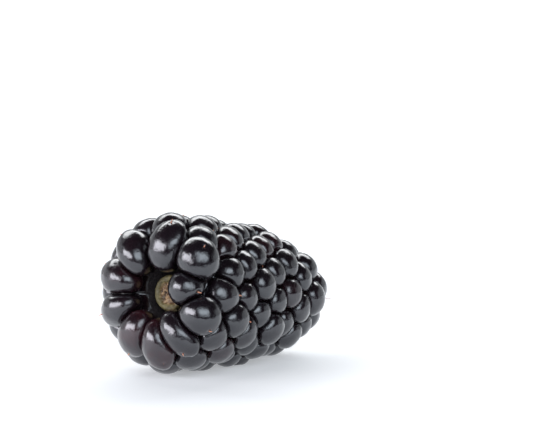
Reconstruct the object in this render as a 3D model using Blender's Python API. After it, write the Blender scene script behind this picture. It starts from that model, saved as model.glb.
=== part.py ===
"""Ripe bramble berry lying on its side.

A bramble berry is an aggregate fruit: about a hundred small round drupelets grow in rings around a
soft core, pressed against each other until they fill the space, so the whole skin is one knobbly
shell.  The pale receptacle, the plug that carried the fruit on its stalk, is left inside and its
scar shows at the bottom of the hollow at the stem end.

Frame: +X runs from the stem end to the tip, +Z is up, the berry rests on the plane z = 0.
All lengths below are millimetres until the last step, the meshes are in metres.
"""

import math
import random

import bmesh
import bpy
import numpy as np
from mathutils import Matrix, Vector

for item in list(bpy.data.objects):
    bpy.data.objects.remove(item, do_unlink=True)

MM = 0.001

# ---------------------------------------------------------------- driving dimensions
DRUPELET_ACROSS = 2.60      # half width round the berry
DRUPELET_ALONG = 2.50       # half width from stem to tip
DRUPELET_DEPTH = 2.50       # half thickness outwards
SQUEEZE = 8.0               # how squarely two pressed drupelets flatten each other
GROOVE = 0.16               # clear groove left between two drupelets
CROWDING = 0.80             # drupelets sit this much closer than their free size
TOUCHING = 0.98             # two drupelets press when their free reaches cover this share of the way
PRESS_RANGE = 8.0           # drupelets further apart than this never press each other

# how the drupelets settle: each step moves a pair by a share of what their spacing is out by
SETTLE_STEPS = 14
SETTLE_RANGE = 7.0          # pairs further apart than this leave each other alone
SETTLE_SHARE = 0.25
LOOSE_BAND = 1.15           # a pair up to this much too far apart is drawn together
LOOSE_SHARE = 0.3           # but more gently than a crowded pair is pushed apart
HELD_IN = 0.8               # the core keeps back this share of any push outwards

# the berry bends a little to -Y: from this station on its axis follows a wide circle
BOW_START = 5.0
BOW_RADIUS = 95.0

# rings of drupelets from the stem end to the tip: station along the axis, radius of the ring,
# lean of the drupelets (negative leans to the stem, positive to the tip), how many, first angle
RINGS = (
    (9.6, 8.6, -3.0, 13, -3.0),
    (13.0, 8.35, 4.0, 13, 14.0),
    (16.4, 7.9, 7.0, 13, 0.0),
    (19.8, 7.4, 10.0, 13, 16.0),
    (23.1, 6.75, 14.0, 12, 0.0),
    (26.2, 5.8, 24.0, 10, 10.0),
    (29.1, 4.4, 40.0, 8, 0.0),
    (31.2, 2.5, 60.0, 5, 25.0),
    (32.3, 0.3, 85.0, 1, 0.0),
)
# the shoulder ring, just behind the mouth ring, is placed drupelet by drupelet: each has its angle
# and how much further from the stem end it sits
SHOULDER_STATION = 6.0
SHOULDER = dict(radius=8.5, lean=-16.0, half=(2.7, 2.7, 2.5))
SHOULDER_DRUPELETS = (
    (28, 0.0),
    (60, 0.0),
    (93, 0.0),
    (127, 0.2),
    (177, 3.3),
    (215, 0.3),
    (240, 0.0),
    (268, 0.0),
    (296, 0.0),
    (326, 0.0),
    (357, 0.0),
)
SHOULDER_SIDE = -0.3        # the shoulder ring sits a little off the axis too
SHOULDER_LIFT = 0.1
# the mouth ring: long drupelets that point into the hollow and hardly move as the rest settle;
# each has its angle, share of the width, share of the length and extra radius
MOUTH = dict(station=3.0, radius=6.7, lean=-72.0, across=2.75, along=3.5, depth=2.6, free=0.25)
MOUTH_DRUPELETS = (
    (102, 1.12, 1.03, 0.3),
    (50, 0.94, 1.03, 0.5),
    (13, 0.98, 1.00, 0.5),
    (338, 0.90, 1.00, 0.5),
    (300, 1.05, 1.00, 0.2),
    (262, 1.00, 1.03, 0.5),
    (228, 0.90, 1.03, 0.2),
    (202, 1.00, 0.85, 0.6),
    (140, 1.12, 0.82, 1.4),
)
# one round drupelet has grown inside the mouth ring and hangs over the hollow
LODGER = dict(station=2.5, radius=5.2, angle=169.0, lean=-78.0, half=(2.55, 2.55, 2.55), free=0.15)
MOUTH_SIDE = -1.2           # the mouth sits off the berry's axis, to -Y
MOUTH_LIFT = 0.2

# natural unevenness, as plus or minus
WANDER_ROUND = 0.35
WANDER_ALONG = 0.30
WANDER_SIZE = 0.07
WANDER_OUT = 0.18
NARROWEST_RING = 1.5        # rings tighter than this wander as if they were this wide
SEED = 3

# inner flesh that joins the drupelets: station, radius, turned about the axis
FLESH = (
    (3.5, 0.0),
    (3.5, 6.5),
    (4.8, 7.9),
    (9.0, 8.0),
    (15.0, 7.5),
    (20.5, 6.8),
    (25.5, 5.5),
    (28.8, 4.0),
    (31.0, 2.1),
    (32.0, 0.0),
)
FLESH_SIDES = 20

# receptacle: a turned plug with a torn scar at its stem end
PLUG = (
    (5.35, 0.0),
    (5.25, 0.9),
    (4.95, 1.6),
    (4.80, 2.05),
    (4.95, 2.35),
    (5.50, 2.50),
    (9.00, 2.70),
    (15.0, 2.50),
    (20.0, 2.05),
    (24.0, 1.40),
    (26.2, 0.70),
    (26.8, 0.0),
)
PLUG_SIDES = 28
PLUG_NECK = 5               # the plug's first profile point that is inside the flesh
PLUG_GAP = 0.30             # clearance between the plug and the flesh round it
BORE_FRONT = 3.2            # the hollow opens just in front of the flesh

# how the berry lies
ROLL_DEG = -1.0
DIVE_DEG = 7.0              # the slimmer tip end lies lower than the shoulder
FLAT = 0.45                 # the lowest drupelets are pressed flat by this much
GROUND_SIDE = 80.0          # block that trims the flats
GROUND_DEPTH = 20.0

DOME_SIDES = 8
DOME_RINGS = (30.0, 58.0, 86.0, 125.0)      # degrees away from straight outwards
WELD = 0.004                # points closer than this are one point after a Boolean

SKIN_COLOUR = (0.012, 0.006, 0.010)
SKIN_ROUGHNESS = 0.22
PITH_COLOUR = (0.36, 0.30, 0.12)
PITH_ROUGHNESS = 0.75


# ---------------------------------------------------------------- the bent axis
def bow(station):
    """How far the axis has moved in Y at this station, and its slope there."""
    past = max(0.0, station - BOW_START)
    return -past * past / (2.0 * BOW_RADIUS), -past / BOW_RADIUS


# ---------------------------------------------------------------- drupelet layout
def make_seed(station, radius, angle, lean, half, shift=(0.0, 0.0), offset=(0.0, 0.0), free=1.0):
    """One drupelet: its centre, its three directions, its half sizes and how freely it settles.

    shift moves it along its own along and outward directions, offset moves it in Y and Z.
    """
    turn = math.radians(angle)
    tip = math.radians(lean)
    bowed, slope = bow(station)
    bend = math.atan(slope)
    axis = np.array([math.cos(bend), math.sin(bend), 0.0])
    sideways = np.array([-math.sin(bend), math.cos(bend), 0.0])
    radial = sideways * math.cos(turn) + np.array([0.0, 0.0, math.sin(turn)])
    outward = radial * math.cos(tip) + axis * math.sin(tip)
    along = axis * math.cos(tip) - radial * math.sin(tip)
    centre = np.array([station, bowed + offset[0], offset[1]])
    centre = centre + radial * radius + along * shift[0] + outward * shift[1]
    frame = np.array([np.cross(outward, along), along, outward])
    return dict(centre=centre, frame=frame, half=np.array(half, float), free=free)


def lay_out():
    """All drupelets, ring by ring, from the stem end to the tip."""
    rng = random.Random(SEED)
    seeds = []
    mouth_offset = (MOUTH_SIDE, MOUTH_LIFT)
    for angle, width_share, length_share, extra_radius in MOUTH_DRUPELETS:
        half = (MOUTH["across"] * width_share, MOUTH["along"] * length_share, MOUTH["depth"])
        seeds.append(make_seed(MOUTH["station"], MOUTH["radius"] + extra_radius, angle, MOUTH["lean"],
                               half, offset=mouth_offset, free=MOUTH["free"]))
    seeds.append(make_seed(**LODGER, offset=mouth_offset))
    for angle, further in SHOULDER_DRUPELETS:
        seeds.append(make_seed(SHOULDER_STATION + further, angle=angle, **SHOULDER,
                               offset=(SHOULDER_SIDE, SHOULDER_LIFT)))
    for station, radius, lean, count, first in RINGS:
        for k in range(count):
            arc = rng.uniform(-WANDER_ROUND, WANDER_ROUND)
            angle = first + 360.0 * k / count + math.degrees(arc / max(radius, NARROWEST_RING))
            size = 1.0 + rng.uniform(-WANDER_SIZE, WANDER_SIZE)
            half = np.array([DRUPELET_ACROSS, DRUPELET_ALONG, DRUPELET_DEPTH]) * size
            along_shift = rng.uniform(-WANDER_ALONG, WANDER_ALONG)
            out_shift = rng.uniform(-WANDER_OUT, WANDER_OUT)
            seeds.append(make_seed(station, radius, angle, lean, half, shift=(along_shift, out_shift)))
    return seeds


def gauge(directions, seed):
    """One over the free drupelet's reach in the directions given."""
    local = directions @ seed["frame"].T / seed["half"]
    return np.sqrt((local * local).sum(axis=-1))


def settle(seeds):
    """Neighbours push each other sideways until their spacing is even."""
    for _ in range(SETTLE_STEPS):
        pushes = [np.zeros(3) for _ in seeds]
        for i, first in enumerate(seeds):
            for j in range(i + 1, len(seeds)):
                second = seeds[j]
                apart = second["centre"] - first["centre"]
                distance = float(np.linalg.norm(apart))
                if distance > SETTLE_RANGE:
                    continue
                unit = apart / distance
                wanted = (1.0 / gauge(unit, first) + 1.0 / gauge(unit, second)) * CROWDING
                excess = wanted - distance
                if excess < 0.0:
                    excess = excess * LOOSE_SHARE if distance < wanted * LOOSE_BAND else 0.0
                pushes[i] -= unit * excess * SETTLE_SHARE
                pushes[j] += unit * excess * SETTLE_SHARE
        for seed, push in zip(seeds, pushes):
            outward = seed["frame"][2]
            push = push - outward * float(push @ outward) * HELD_IN
            seed["centre"] = seed["centre"] + push * seed["free"]
    return seeds


# ---------------------------------------------------------------- solids
def dome_directions():
    """A ball of directions with its poles inwards and outwards."""
    rows = [(0.0, 0.0, 1.0)]
    for ring in DOME_RINGS:
        lean = math.radians(ring)
        for k in range(DOME_SIDES):
            turn = 2.0 * math.pi * k / DOME_SIDES
            rows.append((math.sin(lean) * math.cos(turn), math.sin(lean) * math.sin(turn), math.cos(lean)))
    rows.append((0.0, 0.0, -1.0))
    faces = []
    for k in range(DOME_SIDES):
        after = (k + 1) % DOME_SIDES
        faces.append((0, 1 + k, 1 + after))
    for row in range(len(DOME_RINGS) - 1):
        base = 1 + row * DOME_SIDES
        for k in range(DOME_SIDES):
            after = (k + 1) % DOME_SIDES
            faces.append((base + k, base + DOME_SIDES + k, base + DOME_SIDES + after, base + after))
    base = 1 + (len(DOME_RINGS) - 1) * DOME_SIDES
    last = len(rows) - 1
    for k in range(DOME_SIDES):
        after = (k + 1) % DOME_SIDES
        faces.append((base + k, last, base + after))
    return np.array(rows), faces


def pressed_drupelet(seeds, index, ball):
    """The drupelet's ball, flattened where it meets each neighbour."""
    seed = seeds[index]
    directions = ball @ seed["frame"]
    fullness = gauge(directions, seed) ** SQUEEZE
    for other_index, other in enumerate(seeds):
        if other_index == index:
            continue
        apart = other["centre"] - seed["centre"]
        distance = float(np.linalg.norm(apart))
        if distance > PRESS_RANGE:
            continue
        unit = apart / distance
        mine = 1.0 / gauge(unit, seed)
        theirs = 1.0 / gauge(unit, other)
        if mine + theirs < distance * TOUCHING:
            continue
        wall = distance * mine / (mine + theirs) - GROOVE / 2.0
        fullness = fullness + (np.maximum(0.0, directions @ unit) / wall) ** SQUEEZE
    return seed["centre"] + directions * (fullness ** (-1.0 / SQUEEZE))[:, None]


def mesh_object(name, vertices, faces):
    """A new object of these vertices and faces, its faces pointing outwards."""
    mesh = bpy.data.meshes.new(name)
    mesh.from_pydata([tuple(v) for v in vertices], [], faces)
    mesh.update()
    work = bmesh.new()
    work.from_mesh(mesh)
    bmesh.ops.recalc_face_normals(work, faces=work.faces)
    work.to_mesh(mesh)
    work.free()
    made = bpy.data.objects.new(name, mesh)
    bpy.context.scene.collection.objects.link(made)
    return made


def turned(name, profile, sides, side=0.0, lift=0.0):
    """A solid turned about the berry's bent axis; the profile starts and ends on the axis."""
    vertices = [(profile[0][0], side + bow(profile[0][0])[0], lift)]
    for station, radius in profile[1:-1]:
        middle = side + bow(station)[0]
        for k in range(sides):
            turn = 2.0 * math.pi * k / sides
            vertices.append((station, middle + radius * math.cos(turn), lift + radius * math.sin(turn)))
    vertices.append((profile[-1][0], side + bow(profile[-1][0])[0], lift))
    faces = []
    last = len(vertices) - 1
    rows = len(profile) - 2
    for k in range(sides):
        after = (k + 1) % sides
        faces.append((0, 1 + after, 1 + k))
        faces.append((last, 1 + (rows - 1) * sides + k, 1 + (rows - 1) * sides + after))
    for row in range(rows - 1):
        base = 1 + row * sides
        for k in range(sides):
            after = (k + 1) % sides
            faces.append((base + k, base + after, base + sides + after, base + sides + k))
    return mesh_object(name, vertices, faces)


def tidy(target, near):
    """Merge points nearer than this, then keep only triangles."""
    work = bmesh.new()
    work.from_mesh(target.data)
    bmesh.ops.remove_doubles(work, verts=work.verts, dist=near)
    bmesh.ops.dissolve_degenerate(work, edges=work.edges, dist=near)
    bmesh.ops.triangulate(work, faces=work.faces)
    bmesh.ops.recalc_face_normals(work, faces=work.faces)
    work.to_mesh(target.data)
    work.free()


def combine(target, tool, operation):
    """Boolean of target with tool; the tool is removed afterwards."""
    tool.hide_render = True
    tool.display_type = "WIRE"
    step = target.modifiers.new(operation.lower(), "BOOLEAN")
    step.operation = operation
    step.object = tool
    step.solver = "EXACT"
    bpy.context.view_layer.update()
    evaluated = target.evaluated_get(bpy.context.evaluated_depsgraph_get())
    mesh = bpy.data.meshes.new_from_object(evaluated)
    target.modifiers.clear()
    target.data = mesh
    bpy.data.objects.remove(tool, do_unlink=True)
    tidy(target, WELD)


def slab(name, low, high):
    """A plain block between two corners."""
    corners = [(x, y, z) for x in (low[0], high[0]) for y in (low[1], high[1]) for z in (low[2], high[2])]
    faces = [(0, 1, 3, 2), (4, 6, 7, 5), (0, 4, 5, 1), (2, 3, 7, 6), (0, 2, 6, 4), (1, 5, 7, 3)]
    return mesh_object(name, corners, faces)


def principled(name, colour, roughness):
    """A plain material of one colour and roughness."""
    material = bpy.data.materials.new(name)
    material.use_nodes = True
    shader = material.node_tree.nodes["Principled BSDF"]
    shader.inputs["Base Color"].default_value = (*colour, 1.0)
    shader.inputs["Roughness"].default_value = roughness
    return material


def finish_piece(piece, material):
    """Give the piece its material and smooth shading."""
    piece.data.name = piece.name
    piece.data.materials.clear()
    piece.data.materials.append(material)
    piece.data.shade_smooth()


# ---------------------------------------------------------------- build
# every drupelet as a closed dome, all in one mesh, then joined by the flesh under them
seeds = settle(lay_out())
ball, ball_faces = dome_directions()
dome_vertices = []
dome_faces = []
for index in range(len(seeds)):
    start = len(dome_vertices)
    dome_vertices.extend(pressed_drupelet(seeds, index, ball).tolist())
    dome_faces.extend(tuple(start + corner for corner in face) for face in ball_faces)
domes = mesh_object("domes", dome_vertices, dome_faces)

drupelets = turned("drupelets", FLESH, FLESH_SIDES)
combine(drupelets, domes, "UNION")

# the plug, and the hollow round it: the plug's profile grown by the gap and open at the stem end
plug = turned("receptacle", PLUG, PLUG_SIDES, MOUTH_SIDE, MOUTH_LIFT)
in_flesh = PLUG[PLUG_NECK:-1]
bore_profile = [(BORE_FRONT, 0.0), (BORE_FRONT, in_flesh[0][1] + PLUG_GAP)]
bore_profile += [(station, radius + PLUG_GAP) for station, radius in in_flesh]
bore_profile.append((PLUG[-1][0] + PLUG_GAP, 0.0))
bore = turned("bore", bore_profile, PLUG_SIDES, MOUTH_SIDE, MOUTH_LIFT)
combine(drupelets, bore, "DIFFERENCE")

# lay the berry down: roll about its axis, dip the tip, drop it onto the plane
lie = Matrix.Rotation(math.radians(DIVE_DEG), 4, "Y") @ Matrix.Rotation(math.radians(ROLL_DEG), 4, "X")
for piece in (drupelets, plug):
    piece.data.transform(lie)
points = np.array([v.co for v in drupelets.data.vertices])
low = points.min(axis=0)
high = points.max(axis=0)
place = Matrix.Translation(Vector((-(low[0] + high[0]) / 2.0, -(low[1] + high[1]) / 2.0, -low[2] - FLAT)))
for piece in (drupelets, plug):
    piece.data.transform(place)

# the flats it rests on
half_side = GROUND_SIDE / 2.0
ground = slab("ground", (-half_side, -half_side, -GROUND_DEPTH), (half_side, half_side, 0.0))
combine(drupelets, ground, "DIFFERENCE")

# millimetres to metres
for piece in (drupelets, plug):
    piece.data.transform(Matrix.Scale(MM, 4))
    tidy(piece, WELD * MM)

finish_piece(drupelets, principled("drupelet_skin", SKIN_COLOUR, SKIN_ROUGHNESS))
finish_piece(plug, principled("receptacle_pith", PITH_COLOUR, PITH_ROUGHNESS))

print("drupelets laid:", len(seeds))
for piece in (drupelets, plug):
    print(piece.name, "triangles", len(piece.data.polygons))
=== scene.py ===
# %% [markdown]
# # A ripe bramble berry, from bare solids to a finished fruit
# A bramble berry is about a hundred small drupelets, each a little bag of juice round one seed, grown
# in rings on a soft core.  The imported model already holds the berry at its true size: a shell of
# drupelets and the plug they grew on.  This lesson keeps that size and place and makes the fine shape
# and the finish: smooth pressed drupelets, dried styles, a torn scar and a glossy dark skin.
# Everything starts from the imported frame, so no piece has to be fitted by eye.

import math
import random

import bmesh
import bpy
import numpy as np
from mathutils import Matrix, Vector, noise


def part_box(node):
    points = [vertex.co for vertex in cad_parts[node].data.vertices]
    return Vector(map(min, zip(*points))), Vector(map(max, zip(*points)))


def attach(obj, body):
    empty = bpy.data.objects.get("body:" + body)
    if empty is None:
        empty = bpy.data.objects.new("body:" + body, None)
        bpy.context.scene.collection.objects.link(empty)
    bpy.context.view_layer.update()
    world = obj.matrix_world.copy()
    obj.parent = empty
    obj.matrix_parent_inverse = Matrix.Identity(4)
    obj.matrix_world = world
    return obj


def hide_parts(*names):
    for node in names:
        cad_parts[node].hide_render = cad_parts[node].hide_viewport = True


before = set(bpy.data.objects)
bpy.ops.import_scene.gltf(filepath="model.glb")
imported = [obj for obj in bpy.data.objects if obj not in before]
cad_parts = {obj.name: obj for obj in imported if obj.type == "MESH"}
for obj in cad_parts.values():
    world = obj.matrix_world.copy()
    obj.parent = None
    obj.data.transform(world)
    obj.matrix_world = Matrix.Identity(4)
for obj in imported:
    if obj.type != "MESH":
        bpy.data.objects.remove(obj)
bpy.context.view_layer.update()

# %% [markdown]
# ## Units
# A drupelet is five millimetres wide, so millimetres make the sizes easy to read.  All shapes are
# modelled in millimetres and each Geometry Nodes tree scales its result to metres at its very end.

# %% Millimetres
MM = 0.001

# %% [markdown]
# ## Where each drupelet sits
# On the real fruit every drupelet takes the room its neighbours leave it.  They could be placed by
# hand, one by one, or scattered at random and pushed apart.  Rings are closer to how a berry grows, so
# the drupelets start in rings from the stem end to the tip and then push each other until their
# spacing is even.  The numbers are the ones that the solids were made with, which is why the fine
# drupelets land exactly on the coarse ones.

# %% The berry's bent axis
BOW_START = 5.0             # the axis is straight up to this station, then bends to -Y
BOW_RADIUS = 95.0


def bow(station):
    """How far the axis has moved in Y at this station, and its slope there."""
    past = max(0.0, station - BOW_START)
    return -past * past / (2.0 * BOW_RADIUS), -past / BOW_RADIUS


# %% Rings of drupelets
# station along the berry's axis, ring radius, lean in degrees (to the stem -, to the tip +), count,
# first angle
RINGS = (
    (9.6, 8.6, -3.0, 13, -3.0), (13.0, 8.35, 4.0, 13, 14.0), (16.4, 7.9, 7.0, 13, 0.0),
    (19.8, 7.4, 10.0, 13, 16.0), (23.1, 6.75, 14.0, 12, 0.0), (26.2, 5.8, 24.0, 10, 10.0),
    (29.1, 4.4, 40.0, 8, 0.0), (31.2, 2.5, 60.0, 5, 25.0), (32.3, 0.3, 85.0, 1, 0.0),
)
DRUPELET_HALF = (2.60, 2.50, 2.50)          # round the berry, along it, outwards

# the shoulder ring, behind the mouth ring, is placed drupelet by drupelet: angle, and how much
# further from the stem end
SHOULDER_STATION = 6.0
SHOULDER = dict(radius=8.5, lean=-16.0, half=(2.7, 2.7, 2.5))
SHOULDER_DRUPELETS = (
    (28, 0.0), (60, 0.0), (93, 0.0), (127, 0.2), (177, 3.3), (215, 0.3),
    (240, 0.0), (268, 0.0), (296, 0.0), (326, 0.0), (357, 0.0),
)
SHOULDER_OFFSET = (-0.3, 0.1)

# the mouth ring: long drupelets that point into the hollow; each has its angle, share of the width,
# share of the length, extra radius and how red it still is
MOUTH = dict(station=3.0, radius=6.7, lean=-72.0, across=2.75, along=3.5, depth=2.6, free=0.25)
MOUTH_DRUPELETS = (
    (102, 1.12, 1.03, 0.3, 0.05), (50, 0.94, 1.03, 0.5, 0.10), (13, 0.98, 1.00, 0.5, 0.45),
    (338, 0.90, 1.00, 0.5, 0.10), (300, 1.05, 1.00, 0.2, 0.90), (262, 1.00, 1.03, 0.5, 0.80),
    (228, 0.90, 1.03, 0.2, 0.10), (202, 1.00, 0.85, 0.6, 0.00), (140, 1.12, 0.82, 1.4, 0.00),
)
# one round drupelet has grown inside the mouth ring and hangs over the hollow
LODGER = dict(station=2.5, radius=5.2, angle=169.0, lean=-78.0, half=(2.55, 2.55, 2.55), free=0.15)
MOUTH_OFFSET = (-1.2, 0.2)                  # the mouth sits off the berry's axis, in Y and Z

# %% Natural unevenness
WANDER_ROUND = 0.35
WANDER_ALONG = 0.30
WANDER_SIZE = 0.07
WANDER_OUT = 0.18
NARROWEST_RING = 1.5
LAYOUT_SEED = 3


# %% One drupelet's place
def make_seed(station, radius, angle, lean, half,
              shift=(0.0, 0.0), offset=(0.0, 0.0), free=1.0, red=0.0):
    """A drupelet's centre, its three directions, its half sizes, how freely it settles, its redness."""
    turn = math.radians(angle)
    tip = math.radians(lean)
    bowed, slope = bow(station)
    bend = math.atan(slope)
    axis = np.array([math.cos(bend), math.sin(bend), 0.0])
    sideways = np.array([-math.sin(bend), math.cos(bend), 0.0])
    radial = sideways * math.cos(turn) + np.array([0.0, 0.0, math.sin(turn)])
    outward = radial * math.cos(tip) + axis * math.sin(tip)
    along = axis * math.cos(tip) - radial * math.sin(tip)
    centre = np.array([station, bowed + offset[0], offset[1]])
    centre = centre + radial * radius + along * shift[0] + outward * shift[1]
    frame_rows = np.array([np.cross(outward, along), along, outward])
    return dict(centre=centre, frame=frame_rows, half=np.array(half, float), free=free, red=red)


# %% All drupelets, ring by ring
def lay_out():
    """The drupelets before they settle, from the stem end to the tip."""
    rng = random.Random(LAYOUT_SEED)
    placed = []
    for angle, width_share, length_share, extra_radius, red in MOUTH_DRUPELETS:
        half = (MOUTH["across"] * width_share, MOUTH["along"] * length_share, MOUTH["depth"])
        placed.append(make_seed(MOUTH["station"], MOUTH["radius"] + extra_radius, angle, MOUTH["lean"],
                                half, offset=MOUTH_OFFSET, free=MOUTH["free"], red=red))
    placed.append(make_seed(**LODGER, offset=MOUTH_OFFSET))
    for angle, further in SHOULDER_DRUPELETS:
        placed.append(make_seed(SHOULDER_STATION + further, angle=angle, **SHOULDER,
                                offset=SHOULDER_OFFSET))
    for station, radius, lean, count, first in RINGS:
        for k in range(count):
            arc = rng.uniform(-WANDER_ROUND, WANDER_ROUND)
            angle = first + 360.0 * k / count + math.degrees(arc / max(radius, NARROWEST_RING))
            half = np.array(DRUPELET_HALF) * (1.0 + rng.uniform(-WANDER_SIZE, WANDER_SIZE))
            along_shift = rng.uniform(-WANDER_ALONG, WANDER_ALONG)
            out_shift = rng.uniform(-WANDER_OUT, WANDER_OUT)
            placed.append(make_seed(station, radius, angle, lean, half, shift=(along_shift, out_shift)))
    return placed


# %% [markdown]
# ## Settling
# Two neighbours want to be a share of their free sizes apart.  In every step each pair moves towards
# that spacing a little, mostly sideways, because the core holds a drupelet where it grew.  A physics
# simulation would do the same with far more work.

# %% Neighbours push each other apart
CROWDING = 0.80             # drupelets sit this much closer than their free size
SETTLE_STEPS = 14
SETTLE_RANGE = 7.0
SETTLE_SHARE = 0.25
LOOSE_BAND = 1.15
LOOSE_SHARE = 0.3
HELD_IN = 0.8


def gauge(direction, seed):
    """One over the free drupelet's reach in a direction."""
    local = seed["frame"] @ direction / seed["half"]
    return math.sqrt(float(local @ local))


def settle(seeds):
    """Even out the spacing, a small step at a time."""
    for _ in range(SETTLE_STEPS):
        pushes = [np.zeros(3) for _ in seeds]
        for i, first in enumerate(seeds):
            for j in range(i + 1, len(seeds)):
                second = seeds[j]
                apart = second["centre"] - first["centre"]
                distance = float(np.linalg.norm(apart))
                if distance > SETTLE_RANGE:
                    continue
                unit = apart / distance
                wanted = (1.0 / gauge(unit, first) + 1.0 / gauge(unit, second)) * CROWDING
                excess = wanted - distance
                if excess < 0.0:
                    excess = excess * LOOSE_SHARE if distance < wanted * LOOSE_BAND else 0.0
                pushes[i] -= unit * excess * SETTLE_SHARE
                pushes[j] += unit * excess * SETTLE_SHARE
        for seed, push in zip(seeds, pushes):
            outward = seed["frame"][2]
            push = push - outward * float(push @ outward) * HELD_IN
            seed["centre"] = seed["centre"] + push * seed["free"]
    return seeds


seeds = settle(lay_out())
print("drupelets:", len(seeds))

# %% [markdown]
# ## Turned shapes, and laying the berry down
# The plug and the flesh that joins the drupelets are round about the berry's axis, so both are turned
# from a profile.  The plug also tells how the berry lies: the same profile is turned here with the
# same number of sides, tipped by the same angles, and its box compared with the box of the packed
# plug.  The difference is the move that puts every other piece in its place.

# %% Turned points and faces
def turned_points(profile, sides, offset=MOUTH_OFFSET):
    """Rows of points about the bent axis; the profile's first and last point are on the axis."""
    rows = [(profile[0][0], offset[0] + bow(profile[0][0])[0], offset[1])]
    for station, radius in profile[1:-1]:
        middle = offset[0] + bow(station)[0]
        for k in range(sides):
            turn = 2.0 * math.pi * k / sides
            rows.append((station, middle + radius * math.cos(turn), offset[1] + radius * math.sin(turn)))
    rows.append((profile[-1][0], offset[0] + bow(profile[-1][0])[0], offset[1]))
    return np.array(rows)


def turned_faces(row_count, sides):
    """Faces over turned_points: a fan at both ends and quads between."""
    last = row_count * sides + 1
    faces = []
    for k in range(sides):
        after = (k + 1) % sides
        faces.append((0, 1 + after, 1 + k))
        faces.append((last, last - sides + k, last - sides + after))
    for row in range(row_count - 1):
        base = 1 + row * sides
        for k in range(sides):
            after = (k + 1) % sides
            faces.append((base + k, base + after, base + sides + after, base + sides + k))
    return faces


# %% The plug's profile and how the berry lies
PLUG = (
    (5.35, 0.0), (5.25, 0.9), (4.95, 1.6), (4.80, 2.05),
    (4.95, 2.35), (5.50, 2.50), (9.00, 2.70), (15.0, 2.50),
    (20.0, 2.05), (24.0, 1.40), (26.2, 0.70), (26.8, 0.0),
)
PLUG_NECK = 5               # the plug's first profile point inside the flesh
PLUG_SIDES = 28
ROLL_DEG = -1.0
DIVE_DEG = 7.0

dive = Matrix.Rotation(math.radians(DIVE_DEG), 3, "Y")
roll = Matrix.Rotation(math.radians(ROLL_DEG), 3, "X")
TURN = np.array(dive @ roll)
plug_points = turned_points(PLUG, PLUG_SIDES) @ TURN.T
plug_low, plug_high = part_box("receptacle")
plug_centre = (np.array(plug_low) + np.array(plug_high)) / 2.0 / MM
MOVE = plug_centre - (plug_points.min(axis=0) + plug_points.max(axis=0)) / 2.0
print("berry moved by, mm:", MOVE.round(2))


def laid(points):
    """Points of the berry's own frame, where they are once it lies on the floor."""
    return points @ TURN.T + MOVE


# %% [markdown]
# ## Helpers for node trees
# A node tree built in a script is easier to read when each node is one call: its kind, what goes into
# its sockets, and its settings.  A value goes in as a constant and a socket as a link.

# %% One node, one call
def add(tree, kind, inputs=None, **settings):
    """A new node with its settings, and its sockets filled with constants or links."""
    node = tree.nodes.new(kind)
    for name, value in settings.items():
        setattr(node, name, value)
    for key, value in (inputs or {}).items():
        if isinstance(value, bpy.types.NodeSocket):
            tree.links.new(value, node.inputs[key])
        else:
            node.inputs[key].default_value = value
    return node


def maths(tree, operation, *values):
    """A Math node's result."""
    return add(tree, "ShaderNodeMath", dict(enumerate(values)), operation=operation).outputs[0]


def times(tree, first, second):
    """Two numbers multiplied."""
    return maths(tree, "MULTIPLY", first, second)


def vectors(tree, operation, *values):
    """A Vector Math node's result: a number for a length or a dot product, else a vector."""
    node = add(tree, "ShaderNodeVectorMath", dict(enumerate(values)), operation=operation)
    return node.outputs["Value"] if operation in ("LENGTH", "DOT_PRODUCT") else node.outputs["Vector"]


def scaled(tree, vector, factor):
    """A vector times a number."""
    inputs = {"Vector": vector, "Scale": factor}
    return add(tree, "ShaderNodeVectorMath", inputs, operation="SCALE").outputs[0]


def geo(tree, kind, inputs=None, **settings):
    """The first result of a Geometry Nodes node, named without its long prefix."""
    return add(tree, "GeometryNode" + kind, inputs, **settings).outputs[0]


def eased(tree, value, low, high, to_low, to_high):
    """A smooth step from to_low at low to to_high at high."""
    inputs = {"Value": value, "From Min": low, "From Max": high, "To Min": to_low, "To Max": to_high}
    return add(tree, "ShaderNodeMapRange", inputs, interpolation_type="SMOOTHSTEP").outputs[0]


# %% Trees with named inputs
def new_tree(name, inputs, outputs=(("Geometry", "Geometry"),)):
    """A Geometry Nodes tree; inputs are (name, socket type, default) and outputs (name, type)."""
    tree = bpy.data.node_groups.new(name, "GeometryNodeTree")
    for label, kind, default in inputs:
        socket = tree.interface.new_socket(label, in_out="INPUT", socket_type="NodeSocket" + kind)
        if default is not None:
            socket.default_value = default
    for label, kind in outputs:
        tree.interface.new_socket(label, in_out="OUTPUT", socket_type="NodeSocket" + kind)
    return tree, tree.nodes.new("NodeGroupInput").outputs, tree.nodes.new("NodeGroupOutput").inputs


def set_inputs(modifier, values):
    """Fill a modifier's named inputs, by each socket's identifier."""
    for item in modifier.node_group.interface.items_tree:
        if item.in_out == "INPUT" and item.name in values:
            modifier[item.identifier] = values[item.name]


def named(tree, name, kind="FLOAT_VECTOR"):
    """A named attribute, read as a field."""
    return geo(tree, "InputNamedAttribute", {"Name": name}, data_type=kind)


def stored(tree, geometry, name, value, kind="FLOAT"):
    """The geometry with a value stored on its points."""
    inputs = {"Geometry": geometry, "Name": name, "Value": value}
    return geo(tree, "StoreNamedAttribute", inputs, data_type=kind, domain="POINT")


def end_tree(tree, geometry, finish, result):
    """How every tree ends: metres, smooth shading, real faces and the finish."""
    for kind, inputs in (
        ("Transform", {"Scale": (MM, MM, MM)}),
        ("SetShadeSmooth", {"Shade Smooth": True}),
        ("RealizeInstances", {}),
        ("SetMaterial", {"Material": finish}),
    ):
        geometry = geo(tree, kind, {"Geometry": geometry, **inputs})
    tree.links.new(geometry, result["Geometry"])


# %% Objects, and numbers on their points
def new_object(name, data):
    """An object in the scene for this mesh or camera."""
    made = bpy.data.objects.new(name, data)
    bpy.context.scene.collection.objects.link(made)
    return made


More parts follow.
